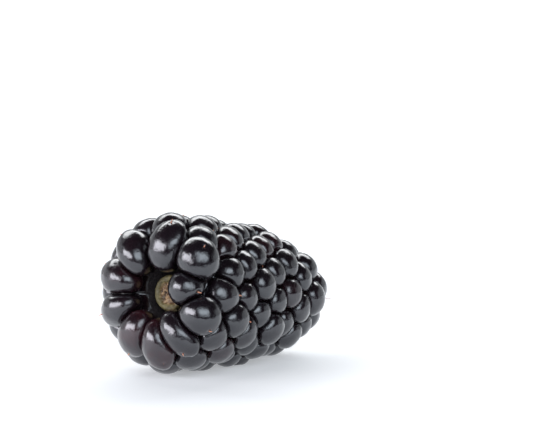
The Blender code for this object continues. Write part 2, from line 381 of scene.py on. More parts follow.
def mesh_object(name, points, faces=()):
    """A new mesh object."""
    mesh = bpy.data.meshes.new(name)
    mesh.from_pydata([tuple(p) for p in points], [], list(faces))
    mesh.update()
    return new_object(name, mesh)


def carry(made, vector_data, number_data):
    """Store vectors and numbers on an object's points."""
    for label, rows in vector_data.items():
        layer = made.data.attributes.new(label, "FLOAT_VECTOR", "POINT")
        layer.data.foreach_set("vector", np.array(rows, np.float32).ravel())
    for label, row in number_data.items():
        layer = made.data.attributes.new(label, "FLOAT", "POINT")
        layer.data.foreach_set("value", np.array(row, np.float32))
    return made


# %% From a live modifier to a plain mesh

def grown(source, tree, values, name):
    """Run a tree on an object and keep the result as a new plain mesh object."""
    modifier = source.modifiers.new(tree.name, "NODES")
    modifier.node_group = tree
    set_inputs(modifier, values)
    bpy.context.view_layer.update()
    evaluated = source.evaluated_get(bpy.context.evaluated_depsgraph_get())
    mesh = bpy.data.meshes.new_from_object(evaluated)
    mesh.name = name
    source.modifiers.clear()
    print(name, "faces:", len(mesh.polygons))
    return new_object(name, mesh)


# %% [markdown]
# ## The skin's finish
# Ripe bramble skin is thin, tight and waxed.  Its pigment is so dense that the colour is nearly black,
# and only the drupelets that ripen last keep a wine tint.  What shows is therefore the gloss: a clear
# soft reflection with a finer, brighter one inside it.  One sharp gloss looks like lacquer and one
# soft gloss like rubber, so the shader has both, a rough base under a smoother coat, and very fine
# bumps break the edge of every highlight into grain, as the cells of the skin do.

# %% Helpers for finishes
def new_finish(name):
    """An empty material, its node tree and its Principled shader."""
    material = bpy.data.materials.new(name)
    material.use_nodes = True
    return material, material.node_tree, material.node_tree.nodes["Principled BSDF"]


def grain(tree, size_mm, detail=2.0, distortion=0.0):
    """Noise whose blotches are about this size, on the piece's own coordinates."""
    where = add(tree, "ShaderNodeTexCoord").outputs["Object"]
    inputs = {"Vector": where, "Scale": 1.0 / (size_mm * MM), "Detail": detail,
              "Distortion": distortion}
    return add(tree, "ShaderNodeTexNoise", inputs).outputs["Fac"]


def mottled(tree, size_mm, low, high, to_low, to_high, detail=2.0):
    """Grain with its contrast raised: to_low where it is under low, to_high over high."""
    return eased(tree, grain(tree, size_mm, detail), low, high, to_low, to_high)


def own(tree, name, output="Fac"):
    """What the piece's points carry under this name."""
    return add(tree, "ShaderNodeAttribute", attribute_name=name).outputs[output]


def blend_colours(tree, factor, first, second):
    """A colour between two, by a factor."""
    node = add(tree, "ShaderNodeMix", {0: factor, 6: first, 7: second}, data_type="RGBA")
    return node.outputs[2]


def bumped(tree, height, height_mm, normal=None):
    """A normal from a height between 0 and 1 that stands for this many millimetres."""
    inputs = {"Height": height, "Distance": height_mm * MM, "Strength": 1.0}
    if normal is not None:
        inputs["Normal"] = normal
    return add(tree, "ShaderNodeBump", inputs).outputs["Normal"]


# %% Drupelet skin
RIPE = (0.0080, 0.0050, 0.0075, 1.0)
WINE = (0.0300, 0.0060, 0.0090, 1.0)
# painted shade: the grooves darken to this brown, which is also the flesh's own colour
GROOVE_SHADE_AND_FLESH_BROWN = (0.0160, 0.0065, 0.0065, 1.0)
COOL_MIRROR = (0.88, 0.94, 1.0, 1.0)        # wax scatters a little blue
GROOVE_PRESS = (0.55, 0.98)                 # how pressed the skin is where a groove starts and ends
FLESH_PRESS = (0.985, 1.0)                  # flesh carries 1, skin always less
SATIN = (0.15, 0.24)                        # lowest and highest roughness of the skin
GROOVE_DULL = 0.15                          # more roughness in the grooves
FLESH_DULL = 0.45                           # and on the flesh
SWELLS_MM = (0.9, 0.050)                    # size and height of the wide dents
CELLS_MM = (0.24, 0.018)                    # and of the cells
FIBRES_MM = (0.45, 0.45)                    # and of the fibres on the flesh
PIT_EDGE = (0.05, 0.55)                     # the pit under a style, from its middle, mm
PIT_SHADE_MM = 0.10
COAT_SHARE = 0.50
COAT_ROUGHNESS = 0.09
SKIN_IOR = 1.50


def make_skin():
    """Near black and glossy, wine red where a drupelet is less ripe, with painted shade turning the
    grooves dark brown, the flesh's own colour.
    """
    material, tree, shader = new_finish("drupelet_skin_finish")
    pressed = own(tree, "pressed")
    tint = times(tree, own(tree, "redness"), mottled(tree, 2.6, 0.38, 0.62, 0.25, 1.0))
    in_groove = eased(tree, pressed, *GROOVE_PRESS, 0.0, 1.0)
    in_flesh = eased(tree, pressed, *FLESH_PRESS, 0.0, 1.0)
    # painted shade: the skin turns dark brown towards the bottom of each groove; the flesh is this brown
    # all over
    colour = blend_colours(tree, in_groove, blend_colours(tree, tint, RIPE, WINE), GROOVE_SHADE_AND_FLESH_BROWN)
    tree.links.new(colour, shader.inputs["Base Color"])

    cloudy = mottled(tree, 1.1, 0.3, 0.7, *SATIN, detail=3.0)
    dull = maths(tree, "ADD", times(tree, in_groove, GROOVE_DULL),
                 times(tree, in_flesh, FLESH_DULL))
    tree.links.new(maths(tree, "ADD", cloudy, dull), shader.inputs["Roughness"])

    swells = bumped(tree, grain(tree, SWELLS_MM[0], 1.0), SWELLS_MM[1])
    cells = bumped(tree, grain(tree, CELLS_MM[0]), CELLS_MM[1], swells)
    rim = vectors(tree, "LENGTH", own(tree, "from_style", "Vector"))
    pit = bumped(tree, eased(tree, rim, *PIT_EDGE, 0.0, 1.0), PIT_SHADE_MM, cells)
    fibres = times(tree, grain(tree, FIBRES_MM[0], 3.0, distortion=1.0), in_flesh)
    tree.links.new(bumped(tree, fibres, FIBRES_MM[1], pit), shader.inputs["Normal"])

    on_skin = maths(tree, "SUBTRACT", 1.0, in_flesh)
    tree.links.new(times(tree, on_skin, COAT_SHARE), shader.inputs["Coat Weight"])
    tree.links.new(cells, shader.inputs["Coat Normal"])
    for socket, value in (("IOR", SKIN_IOR), ("Specular IOR Level", 0.90),
                          ("Specular Tint", COOL_MIRROR),
                          ("Coat Roughness", COAT_ROUGHNESS), ("Coat IOR", SKIN_IOR)):
        shader.inputs[socket].default_value = value
    return material


skin_finish = make_skin()
print("finish:", skin_finish.name)

# %% [markdown]
# ## Pressed drupelets
# This is the berry's main shape, and it follows a rule: a free drupelet is an oval ball, and each
# neighbour cuts its reach with a soft wall halfway between the two.  Flat planes with a bevel would
# give hard edges, and a cloth or soft-body simulation would be slow and never quite the same twice.
# Here every point of a ball adds up how full each direction is: one over the reach of the free
# ball, and of each wall, all to a high power.  The sum to the power of minus one over the same number
# is a reach that turns smoothly from one wall to the next.  In the tree a Repeat Zone visits all
# drupelets in turn, so that each ball meets each of its neighbours.

# %% The free reach, as a small group of nodes
reach_tree, given, result = new_tree(
    "free gauge",
    (("Direction", "Vector", None), ("Outward", "Vector", None), ("Along", "Vector", None),
     ("Half Sizes", "Vector", None)),
    (("Gauge", "Float"),),
)
across = vectors(reach_tree, "CROSS_PRODUCT", given["Outward"], given["Along"])
parts = add(reach_tree, "ShaderNodeCombineXYZ", {
    "X": vectors(reach_tree, "DOT_PRODUCT", given["Direction"], across),
    "Y": vectors(reach_tree, "DOT_PRODUCT", given["Direction"], given["Along"]),
    "Z": vectors(reach_tree, "DOT_PRODUCT", given["Direction"], given["Outward"]),
}).outputs[0]
share = vectors(reach_tree, "DIVIDE", parts, given["Half Sizes"])
reach_tree.links.new(vectors(reach_tree, "LENGTH", share), result["Gauge"])


def free_gauge(tree, direction, outward, along, half):
    """One over a free drupelet's reach, as a field."""
    inputs = {"Direction": direction, "Outward": outward, "Along": along, "Half Sizes": half}
    return add(tree, "GeometryNodeGroup", inputs, node_tree=reach_tree).outputs["Gauge"]


# %% The tree: one ball on each seed
berry_tree, given, result = new_tree("pressed drupelets", (
    ("Geometry", "Geometry", None),
    ("Flesh", "Object", None),
    ("Ball Detail", "Int", 4),
    ("Squeeze", "Float", 8.0),
    ("Groove", "Float", 0.16),
    ("Touching", "Float", 0.98),
    ("Press Range", "Float", 8.0),
    ("Lump Height", "Float", 0.1),
    ("Lump Size", "Float", 2.0),
    ("Pit Depth", "Float", 0.1),
    ("Pit Width", "Float", 0.5),
    ("Skin", "Material", None),
))
tree = berry_tree
centre = named(tree, "centre")
outward = named(tree, "outward")
along = named(tree, "along")
half = named(tree, "half")
facing = add(tree, "FunctionNodeAxesToRotation", {"Primary Axis": outward, "Secondary Axis": along},
             primary_axis="Z", secondary_axis="Y").outputs[0]
ball = geo(tree, "MeshIcoSphere", {"Radius": 1.0, "Subdivisions": given["Ball Detail"]})
balls = geo(tree, "InstanceOnPoints",
            {"Points": given["Geometry"], "Instance": ball, "Rotation": facing})
balls = geo(tree, "RealizeInstances", {"Geometry": balls})
place = geo(tree, "InputPosition")
heading = vectors(tree, "NORMALIZE", vectors(tree, "SUBTRACT", place, centre))
balls = stored(tree, balls, "heading", heading, "FLOAT_VECTOR")
heading = named(tree, "heading")
own_full = maths(tree, "POWER", free_gauge(tree, heading, outward, along, half), given["Squeeze"])
balls = stored(tree, balls, "fullness", own_full)
balls = stored(tree, balls, "own_fullness", own_full)

# %% The tree: every ball meets every neighbour
SAME_PLACE = 0.01           # a drupelet does not press on itself

count = add(tree, "GeometryNodeAttributeDomainSize", {"Geometry": given["Geometry"]},
            component="MESH").outputs["Point Count"]
visit = tree.nodes.new("GeometryNodeRepeatInput")
visited = tree.nodes.new("GeometryNodeRepeatOutput")
visit.pair_with_output(visited)
tree.links.new(count, visit.inputs["Iterations"])
tree.links.new(balls, visit.inputs["Geometry"])


def neighbour(name):
    """A vector attribute of the drupelet that this round of the Repeat Zone visits."""
    inputs = {"Geometry": given["Geometry"], "Value": named(tree, name),
              "Index": visit.outputs["Iteration"]}
    return geo(tree, "SampleIndex", inputs, data_type="FLOAT_VECTOR", domain="POINT")


apart = vectors(tree, "SUBTRACT", neighbour("centre"), centre)
distance = vectors(tree, "LENGTH", apart)
unit = vectors(tree, "NORMALIZE", apart)
mine = maths(tree, "DIVIDE", 1.0, free_gauge(tree, unit, outward, along, half))
theirs = maths(tree, "DIVIDE", 1.0, free_gauge(tree, unit, neighbour("outward"), neighbour("along"),
                                               neighbour("half")))
both = maths(tree, "ADD", mine, theirs)
wall = maths(tree, "DIVIDE", times(tree, distance, mine), both)
wall = maths(tree, "SUBTRACT", wall, times(tree, given["Groove"], 0.5))
towards = maths(tree, "MAXIMUM", vectors(tree, "DOT_PRODUCT", heading, unit), 0.0)
pressure = maths(tree, "POWER", maths(tree, "DIVIDE", towards, wall), given["Squeeze"])
near = maths(tree, "LESS_THAN", distance, given["Press Range"])
other = maths(tree, "GREATER_THAN", distance, SAME_PLACE)
touching = maths(tree, "GREATER_THAN", both, times(tree, distance, given["Touching"]))
counts = times(tree, times(tree, near, other), touching)
fuller = maths(tree, "ADD", named(tree, "fullness", "FLOAT"), times(tree, pressure, counts))
tree.links.new(stored(tree, visit.outputs["Geometry"], "fullness", fuller), visited.inputs["Geometry"])

# %% The tree: move the points, add lumps and pits, press on the floor
NO_LIMIT = -1000.0

fullness = named(tree, "fullness", "FLOAT")
power = maths(tree, "DIVIDE", -1.0, given["Squeeze"])
reach = maths(tree, "POWER", fullness, power)
free_share = maths(tree, "DIVIDE", named(tree, "own_fullness", "FLOAT"), fullness)
pressed = maths(tree, "SUBTRACT", 1.0, free_share)
balls = stored(tree, visited.outputs["Geometry"], "pressed", pressed)
spot = vectors(tree, "ADD", centre, scaled(tree, heading, reach))
apart_grain = vectors(tree, "ADD", spot, named(tree, "drift"))
lump = add(tree, "ShaderNodeTexNoise", {
    "Vector": apart_grain,
    "Scale": maths(tree, "DIVIDE", 1.0, given["Lump Size"]),
    "Detail": 2.0,
}).outputs["Fac"]
lump = times(tree, maths(tree, "SUBTRACT", lump, 0.5), given["Lump Height"])
from_style = scaled(tree, vectors(tree, "SUBTRACT", heading, named(tree, "style_way")), reach)
balls = stored(tree, balls, "from_style", from_style, "FLOAT_VECTOR")
pit = eased(tree, vectors(tree, "LENGTH", from_style), 0.0, given["Pit Width"], given["Pit Depth"], 0.0)
relief = maths(tree, "SUBTRACT", lump, pit)
spot = vectors(tree, "ADD", spot, scaled(tree, heading, relief))
spot = vectors(tree, "MAXIMUM", spot, (NO_LIMIT, NO_LIMIT, 0.0))
balls = geo(tree, "SetPosition", {"Geometry": balls, "Position": spot})

# %% The tree: join the drupelets with the flesh under them
FLESH_REDNESS = 0.4
NO_STYLE_NEAR = (9.0, 9.0, 9.0)

flesh = add(tree, "GeometryNodeObjectInfo", {"Object": given["Flesh"]}).outputs["Geometry"]
flesh = stored(tree, flesh, "pressed", 1.0)
flesh = stored(tree, flesh, "redness", FLESH_REDNESS)
flesh = stored(tree, flesh, "from_style", NO_STYLE_NEAR, "FLOAT_VECTOR")
join = add(tree, "GeometryNodeMeshBoolean", operation="UNION", solver="MANIFOLD")
tree.links.new(balls, join.inputs["Mesh 2"])
tree.links.new(flesh, join.inputs["Mesh 2"])
end_tree(tree, join.outputs["Mesh"], given["Skin"], result)
print("nodes in the tree:", len(tree.nodes))

# %% [markdown]
# ## The flesh under the drupelets
# Between the drupelets and round the plug there is soft flesh.  It is hardly seen, only at the bottom
# of the grooves and in the hollow, so it is a turned shape with some unevenness.  Its wall turns in at
# the mouth, falls into a narrow trench round the plug and runs back along it, so it is one closed skin
# with the hollow left open.  The trench makes the hollow dark, with painted shade on the plug's sides.

# %% The flesh's profile
# station, radius and what share of the mouth's offset the row follows
FLESH_OUTSIDE = (
    (8.0, 2.9, 1.0), (7.0, 3.4, 1.0), (5.6, 4.3, 1.0), (4.5, 5.3, 0.8),
    (3.9, 6.5, 0.5), (4.8, 7.9, 0.2), (9.0, 8.0, 0.0), (15.0, 7.5, 0.0),
    (20.5, 6.8, 0.0), (25.5, 5.5, 0.0), (28.8, 4.0, 0.0), (31.0, 2.1, 0.0),
    (32.0, 0.0, 0.0),
)
TRENCH = 8.5                # the flesh comes close to the plug only behind this station
HOLLOW_GAP = 0.10
FLESH_SIDES = 72
FLESH_WOBBLE = 0.25
FLESH_GRAIN = 1.6
FLESH_SEED = 7              # without a seed, vector noise starts from the clock


def flesh_profile():
    """From the bottom of the plug's hollow, out at the mouth, and back over the outside to the tip."""
    inside = [(PLUG[-1][0] + HOLLOW_GAP, 0.0, 1.0)]
    inside += [(station, radius + HOLLOW_GAP, 1.0)
               for station, radius in reversed(PLUG[:-1]) if station > TRENCH]
    return tuple(inside) + FLESH_OUTSIDE


def wobbled(points, height, size):
    """Points moved by smooth noise, the same in every run."""
    noise.seed_set(FLESH_SEED)
    moved = [np.array(noise.noise_vector(Vector(point) / size)) * height for point in points]
    return points + np.array(moved)


profile = flesh_profile()
points = turned_points([row[:2] for row in profile], FLESH_SIDES, (0.0, 0.0))
row_shares = [row[2] for row in profile]
shares = np.concatenate([row_shares[:1], np.repeat(row_shares[1:-1], FLESH_SIDES), row_shares[-1:]])
points[:, 1:] += shares[:, None] * np.array(MOUTH_OFFSET)
points = wobbled(points, FLESH_WOBBLE, FLESH_GRAIN)
flesh_core = mesh_object("flesh_core", laid(points), turned_faces(len(profile) - 2, FLESH_SIDES))
work = bmesh.new()
work.from_mesh(flesh_core.data)
bmesh.ops.recalc_face_normals(work, faces=work.faces)
bmesh.ops.triangulate(work, faces=work.faces)
work.to_mesh(flesh_core.data)
work.free()

# %% [markdown]
# ## What each drupelet carries
# Besides its place, every seed point carries what makes it an individual: how red it still is, a shift
# in the grain so that no two are lumpy in the same way, and where its dried style grows.  The style is
# what is left of the flower: it grew from the drupelet's top, and as the drupelet swelled towards the
# stem end it ended up on the side that faces the tip.

# %% Individual traits
FULLNESS = 1.05             # ripe skins are a little tighter than the coarse solids
TRAIT_SEED = 11
STYLE_LEAN_DEG = (48.0, 70.0)
STYLE_SIDE_DEG = 26.0
LATE_SHARE = 0.10           # drupelets that ripen late
LATE_RED = (0.3, 0.6)
RIPE_RED = (0.0, 0.12)
DRIFT = 50.0                # how far apart two drupelets' grains may be taken

rng = random.Random(TRAIT_SEED)
style_ways = []
redness = []
drifts = []
for index, seed in enumerate(seeds):
    across_way, along_way, outward_way = seed["frame"]
    lean = math.radians(rng.uniform(*STYLE_LEAN_DEG))
    side = math.radians(rng.uniform(-STYLE_SIDE_DEG, STYLE_SIDE_DEG))
    tangent = along_way * math.cos(side) + across_way * math.sin(side)
    style_ways.append(outward_way * math.cos(lean) + tangent * math.sin(lean))
    late = rng.random() < LATE_SHARE
    own_red = rng.uniform(*(LATE_RED if late else RIPE_RED))
    redness.append(max(seed["red"], own_red) if index >= len(MOUTH_DRUPELETS) else seed["red"])
    drifts.append([rng.uniform(-DRIFT, DRIFT) for _ in range(3)])

centres = laid(np.array([seed["centre"] for seed in seeds]))
outwards = np.array([seed["frame"][2] for seed in seeds]) @ TURN.T
alongs = np.array([seed["frame"][1] for seed in seeds]) @ TURN.T
style_ways = np.array(style_ways) @ TURN.T
seed_points = carry(mesh_object("drupelet_seeds", centres), {
    "centre": centres,
    "outward": outwards,
    "along": alongs,
    "half": [seed["half"] * FULLNESS for seed in seeds],
    "style_way": style_ways,
    "drift": drifts,
}, {"redness": redness})

# %% Grow the drupelets
SQUEEZE = 9.0
GROOVE = 0.05
berry = grown(seed_points, berry_tree, {
    "Flesh": flesh_core,
    "Ball Detail": 4,
    "Squeeze": SQUEEZE,
    "Groove": GROOVE,
    "Lump Height": 0.28,
    "Lump Size": 2.2,
    "Pit Depth": 0.13,
    "Pit Width": 0.62,
    "Skin": skin_finish,
}, "drupelet_cluster")
bpy.data.objects.remove(flesh_core, do_unlink=True)

# %% [markdown]
# ## Dried styles
# Each drupelet ends in the dried stump of its style, a thread about a tenth of a millimetre thick.
# Most have broken off short, and a few are still a millimetre or more long and curled.  Hair curves
# would be lost in an export, and modelling a hundred by hand would be dull.  They repeat and they
# follow the surface, so a tree grows them: a ray from each drupelet's centre finds the skin, a line
# is instanced there, bent by the seed's own numbers and given a thickness that tapers.

# %% Style finish
STYLE_FOOT = (0.26, 0.070, 0.045, 1.0)
STYLE_END = (0.60, 0.24, 0.15, 1.0)
STYLE_PALE = (0.60, 0.36, 0.24, 1.0)


def make_style_finish():
    """Dry orange brown threads, paler in places and darker at the foot."""
    material, tree, shader = new_finish("dried_style_finish")
    above_foot = eased(tree, own(tree, "way_up"), 0.0, 0.5, 0.0, 1.0)
    colour = blend_colours(tree, above_foot, STYLE_FOOT, STYLE_END)
    colour = blend_colours(tree, mottled(tree, 0.25, 0.42, 0.62, 0.0, 0.7), colour, STYLE_PALE)
    tree.links.new(colour, shader.inputs["Base Color"])
    tree.links.new(mottled(tree, 0.2, 0.3, 0.7, 0.45, 0.75), shader.inputs["Roughness"])
    tree.links.new(bumped(tree, grain(tree, 0.08), 0.02), shader.inputs["Normal"])
    shader.inputs["Specular IOR Level"].default_value = 0.4
    return material


style_finish = make_style_finish()

# %% The tree that grows the styles
LONGEST_RAY = 6.0
KINK_SCALE = 1.6
FLOOR_GAP = 0.15            # styles under the berry are pushed up to this height
TIP_SHARE = 0.45            # how thick a thread's end is
KNOB_FROM_TO = (0.72, 0.9)  # where along a thread its knob swells

style_tree, given, result = new_tree("dried styles", (
    ("Geometry", "Geometry", None),
    ("Skin", "Object", None),
    ("Points", "Int", 7),
    ("Sides", "Int", 6),
    ("Sink", "Float", 0.1),
    ("Kink", "Float", 0.2),
    ("Finish", "Material", None),
))
tree = style_tree
skin_mesh = add(tree, "GeometryNodeObjectInfo", {"Object": given["Skin"]}).outputs["Geometry"]
skin_mesh = geo(tree, "Transform", {"Geometry": skin_mesh, "Scale": (1.0 / MM, 1.0 / MM, 1.0 / MM)})
way = named(tree, "style_way")
ray = add(tree, "GeometryNodeRaycast", {
    "Target Geometry": skin_mesh,
    "Source Position": named(tree, "centre"),
    "Ray Direction": way,
    "Ray Length": LONGEST_RAY,
})
seeds_with_foot = stored(tree, given["Geometry"], "foot", ray.outputs["Hit Position"], "FLOAT_VECTOR")
line = geo(tree, "CurvePrimitiveLine", {"Start": (0.0, 0.0, 0.0), "End": (0.0, 0.0, 1.0)})
line = geo(tree, "ResampleCurve", {"Curve": line, "Count": given["Points"]})
lines = geo(tree, "InstanceOnPoints", {
    "Points": seeds_with_foot,
    "Selection": ray.outputs["Is Hit"],
    "Instance": line,
})
lines = geo(tree, "RealizeInstances", {"Geometry": lines})
up = add(tree, "GeometryNodeSplineParameter").outputs["Factor"]
length = named(tree, "style_length", "FLOAT")
rise = scaled(tree, way, maths(tree, "SUBTRACT", times(tree, up, length), given["Sink"]))
sag = times(tree, length, times(tree, up, up))
bend = scaled(tree, named(tree, "style_bend"), sag)
spot = vectors(tree, "ADD", vectors(tree, "ADD", named(tree, "foot"), rise), bend)
kink = add(tree, "ShaderNodeTexNoise", {"Vector": vectors(tree, "ADD", spot, named(tree, "drift")),
                                        "Scale": KINK_SCALE, "Detail": 1.0}).outputs["Color"]
kink = vectors(tree, "SUBTRACT", kink, (0.5, 0.5, 0.5))
kink_size = times(tree, times(tree, up, length), given["Kink"])
spot = vectors(tree, "ADD", spot, scaled(tree, kink, kink_size))
lines = stored(tree, lines, "way_up", up)
spot = vectors(tree, "MAXIMUM", spot, (NO_LIMIT, NO_LIMIT, FLOOR_GAP))
lines = geo(tree, "SetPosition", {"Geometry": lines, "Position": spot})
taper = eased(tree, up, 0.0, 1.0, 1.0, TIP_SHARE)
swell = eased(tree, up, *KNOB_FROM_TO, 0.0, 1.0)
knob = times(tree, named(tree, "style_knob", "FLOAT"), swell)
thickness = times(tree, named(tree, "style_width", "FLOAT"), maths(tree, "ADD", taper, knob))
outline = geo(tree, "CurvePrimitiveCircle", {"Resolution": given["Sides"], "Radius": 0.5})
threads = geo(tree, "CurveToMesh", {
    "Curve": lines,
    "Profile Curve": outline,
    "Scale": thickness,
    "Fill Caps": True,
})
end_tree(tree, threads, given["Finish"], result)

# %% Each style's own length, thickness and bend
# shares of all styles, and lowest and highest sizes in millimetres
LONG_SHARE = 0.09
GONE_SHARE = 0.20
LONG = dict(length=(0.9, 1.5), width=(0.10, 0.13), knob=(0.2, 0.6))
SHORT = dict(length=(0.25, 0.45), width=(0.16, 0.28), knob=(0.0, 0.3))
GONE_LENGTH = (0.12, 0.16)
LYING = (0.3, 0.9)          # how far a style leans along the skin, and into it
DROOPING = (0.0, 0.35)
LYING_TURN = 1.2
STYLE_SEED = 23

rng = random.Random(STYLE_SEED)
lengths = []
widths = []
knobs = []
bends = []
for index, seed in enumerate(seeds):
    is_long = rng.random() < LONG_SHARE and index > len(MOUTH_DRUPELETS)
    is_gone = rng.random() < GONE_SHARE
    style = LONG if is_long else SHORT
    short = rng.uniform(*(GONE_LENGTH if is_gone else SHORT["length"]))
    lengths.append(rng.uniform(*LONG["length"]) if is_long else short)
    widths.append(rng.uniform(*style["width"]))
    knobs.append(rng.uniform(*style["knob"]))
    across_way, along_way, outward_way = seed["frame"]
    turn = rng.uniform(-LYING_TURN, LYING_TURN)
    lying = along_way * math.cos(turn) + across_way * math.sin(turn)
    bends.append(lying * rng.uniform(*LYING) - outward_way * rng.uniform(*DROOPING))
style_points = carry(mesh_object("style_seeds", centres), {
    "centre": centres,
    "style_way": style_ways,
    "style_bend": np.array(bends) @ TURN.T,
    "drift": drifts,
}, {"style_length": lengths, "style_width": widths, "style_knob": knobs})
styles = grown(style_points, style_tree, {
    "Skin": berry,
    "Sink": 0.12,
    "Kink": 0.7,
    "Finish": style_finish,
}, "dried_styles")

# %% [markdown]
# ## The receptacle and its scar
# The plug broke off its stalk when the berry was picked, so its end is a torn scar: a smooth olive rim
# of living pith, and inside it a sunken tan patch of snapped fibres.  A plain disc with a bump map
# looks painted from the side, so the scar is modelled: a turned plug with fine rings near its end,
# its middle sunk and roughened by noise.

# %% The plug's fine profile
SCAR_RADIUS = 1.75
SCAR_SINK = 0.40
RIM_CROWN = 0.12
SCAR_ROUGH = 0.30
SCAR_GRAIN = 0.42
SCAR_UNEVEN = 0.22          # share of its radius that the scar's edge wanders
SCAR_EDGE_GRAIN = 1.3
SCAR_EDGE_SOFT = 0.35
FACE_WAVE = (0.05, 0.9)     # height and size of the waves over the whole face
FACE_STATION = 4.86
FACE_RADIUS = 2.50
FACE_EDGE = [(4.93, 2.42), (5.06, 2.50), (5.3, 2.54)]
SIDE_SHADE_STATIONS = (5.05, 5.45)       # painted shade: between these stations the olive face turns to dark brown on the plug's sides
FINE_SIDES = 96
FINE_STEP = 0.10
COARSE_STEP = 0.6


def fine_profile():
    """The plug's profile with close rings over the scar and wide ones inside the flesh."""
    radii = np.arange(FINE_STEP, FACE_RADIUS - FINE_STEP, FINE_STEP)
    rings = [(FACE_STATION, 0.0)] + [(FACE_STATION, float(radius)) for radius in radii] + FACE_EDGE
    stations = np.arange(FACE_EDGE[-1][0] + COARSE_STEP, PLUG[-1][0], COARSE_STEP)
    body = np.array(PLUG[PLUG_NECK:])
    rings += [(float(s), float(np.interp(s, body[:, 0], body[:, 1]))) for s in stations]
    rings.append((PLUG[-1][0], 0.0))
    return rings


def scar_relief(points):
    """The rim's soft crown, the sunken torn middle, and which points are inside the scar."""
    moved = points.copy()
    middle = np.array(MOUTH_OFFSET)
    scar = np.zeros(len(points))
    for row, point in enumerate(points):
        if point[0] > FACE_EDGE[-1][0]:
            continue
        away = point[1:] - middle
        radius = float(np.linalg.norm(away))
        wander = noise.noise(Vector((away[0], away[1], 3.0)) * SCAR_EDGE_GRAIN)
        edge = SCAR_RADIUS * (1.0 + SCAR_UNEVEN * wander)
        inside = min(1.0, max(0.0, (edge - radius) / SCAR_EDGE_SOFT))
        torn = noise.fractal(Vector(point) / SCAR_GRAIN, 0.8, 2.1, 3) * SCAR_ROUGH * inside
        over_rim = min(1.0, max(0.0, (radius - edge) / (FACE_RADIUS - edge)))
        crown = RIM_CROWN * math.sin(math.pi * over_rim)
        moved[row, 0] += SCAR_SINK * inside - crown - torn
        moved[row, 0] += FACE_WAVE[0] * noise.noise(Vector(point) / FACE_WAVE[1])
        scar[row] = inside
    return moved, scar


profile = fine_profile()
points, scar = scar_relief(turned_points(profile, FINE_SIDES))
plug = mesh_object("receptacle_plug", laid(points) * MM, turned_faces(len(profile) - 2, FINE_SIDES))
# painted shade: the plug's sides, down in the trench, darken from the face's edge inwards
side_shade = np.clip((points[:, 0] - SIDE_SHADE_STATIONS[0]) / (SIDE_SHADE_STATIONS[1] - SIDE_SHADE_STATIONS[0]), 0.0, 1.0)
carry(plug, {}, {"scar": scar, "side_shade": side_shade})
plug.data.shade_smooth()

# %% Pith finish
OLIVE = ((0.085, 0.070, 0.028, 1.0), (0.19, 0.165, 0.070, 1.0))
TORN = ((0.20, 0.095, 0.040, 1.0), (0.55, 0.37, 0.20, 1.0))
DRY_SPECK = (0.62, 0.54, 0.44, 1.0)
# painted shade on the plug's sides in the trench
SIDE_SHADE_BROWN = (0.018, 0.010, 0.007, 1.0)


def make_pith():
    """Olive pith, tan and brown where it is torn, with pale dry specks, and painted shade turning its
    sides dark brown.
    """
    material, tree, shader = new_finish("pith_finish")
    olive = blend_colours(tree, mottled(tree, 0.8, 0.35, 0.65, 0.0, 1.0, detail=3.0), *OLIVE)
    torn = blend_colours(tree, mottled(tree, 0.38, 0.38, 0.62, 0.0, 1.0, detail=3.0), *TORN)
    torn = blend_colours(tree, mottled(tree, 0.30, 0.62, 0.70, 0.0, 1.0), torn, DRY_SPECK)
    face = blend_colours(tree, own(tree, "scar"), olive, torn)
    colour = blend_colours(tree, own(tree, "side_shade"), face, SIDE_SHADE_BROWN)
    tree.links.new(colour, shader.inputs["Base Color"])
    tree.links.new(mottled(tree, 0.5, 0.3, 0.7, 0.35, 0.7), shader.inputs["Roughness"])
    coarse = bumped(tree, grain(tree, 0.35, 3.0), 0.06)
    tree.links.new(bumped(tree, grain(tree, 0.12), 0.02, coarse), shader.inputs["Normal"])
    shader.inputs["Specular IOR Level"].default_value = 0.5
    return material


pith_finish = make_pith()
plug.data.materials.append(pith_finish)

# %% [markdown]
# ## Who stands for what
# The visual pieces take the place of the imported solids, which stay in the scene, hidden.  Nothing on a
# berry moves on its own, so every piece rides on the one body.

# %% Ride and replace
for piece in (berry, styles, plug):
    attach(piece, "root")
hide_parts("drupelets")
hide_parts("receptacle")
for helper in (seed_points, style_points):
    bpy.data.objects.remove(helper, do_unlink=True)

# %% [markdown]
# ## Floor
# A pale sweep of card.  It ends a little in front of the berry, as the edge of a table does, so the
# lower half of each drupelet mirrors the bright card and the upper half the dark room, with a
# clear line between them.  The far side runs back until it is lost in the white behind.  The card
# gives a little light of its own, in place of a wide lamp over it that the berry would mirror.

# %% Directions seen from the camera
CAMERA_AZIMUTH_DEG = -53.0
CAMERA_ELEVATION_DEG = 8.0
azimuth = math.radians(CAMERA_AZIMUTH_DEG)
elevation = math.radians(CAMERA_ELEVATION_DEG)
to_right = Vector((math.cos(azimuth), math.sin(azimuth), 0.0))
away = Vector((-math.sin(azimuth), math.cos(azimuth), 0.0))
to_camera = -away * math.cos(elevation) + Vector((0.0, 0.0, math.sin(elevation)))

# %% Card floor
CARD_FRONT = 0.078          # from the berry to the card's edges, in metres
CARD_BACK = 3.0
CARD_SIDE = 1.5
CARD_GRAIN_MM = 30.0
CARD_COLOURS = ((0.82, 0.845, 0.87, 1.0), (0.84, 0.865, 0.89, 1.0))
CARD_GLOW = (0.94, 0.965, 1.0, 1.0)
CARD_GLOW_STRENGTH = 0.37

